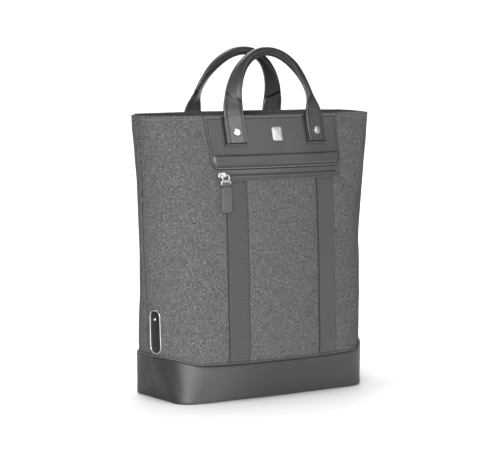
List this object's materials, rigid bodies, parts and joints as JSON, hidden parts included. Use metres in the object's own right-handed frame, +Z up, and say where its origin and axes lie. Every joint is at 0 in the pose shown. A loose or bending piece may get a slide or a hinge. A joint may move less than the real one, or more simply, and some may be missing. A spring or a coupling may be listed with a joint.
{
  "type": "convertible backpack, carried as a tote",
  "caption": "Tall open tote that turns into a backpack: grey canvas body, dark leather base and yoke, zipped front pocket, webbing straps and rolled handles.",
  "frame": {"origin": "middle of the base, on the surface that the bag stands on", "axes": "+X to the right along the front, +Y from the front to the back, +Z up"},
  "size_m": [0.394, 0.179, 0.4956],
  "materials": {
    "canvas": "melange grey woven canvas, matt",
    "boot_leather": "smooth dark grey coated leather, soft sheen",
    "leather": "smooth dark grey leather, stitched, painted edges",
    "facing_cloth": "dark closely woven lining band",
    "zip_cloth": "coated zip tape, dark grey",
    "zip_coil": "fine moulded nylon coil",
    "webbing": "ribbed woven webbing",
    "polished_metal": "polished silver plating",
    "satin_metal": "satin silver metal",
    "gloss_black": "glossy black resin"
  },
  "bodies": {
    "bag": {"front_panel": "canvas", "back_panel": "canvas", "base_boot": "boot_leather", "rim_facing": "facing_cloth", "front_yoke": "leather", "back_yoke": "leather", "pocket_flap": "leather", "zip_tape": "zip_cloth", "zip_coil": "zip_coil", "strap_left": "webbing", "strap_right": "webbing", "front_handle": "leather", "back_handle": "leather", "front_patch_left": "leather", "front_patch_right": "leather", "back_patch_left": "leather", "back_patch_right": "leather", "front_rivet_left": "polished_metal", "front_rivet_right": "polished_metal", "back_rivet_left": "polished_metal", "back_rivet_right": "polished_metal", "plain_plaque": "satin_metal", "side_plate_rim": "polished_metal", "side_plate_inlay": "gloss_black", "side_plate_stud": "polished_metal", "zip_slider": "polished_metal"},
    "zip_pull": {"zip_pull": "polished_metal", "pull_tab": "leather"}
  },
  "joints": [
    {"name": "pull_swing", "type": "hinge", "parent": "bag", "child": "zip_pull", "pos_m": [-0.09567, -0.07159, 0.31904], "axis": [-0.9886, 0.1505, 0], "range_deg": [0, 120]}
  ]
}
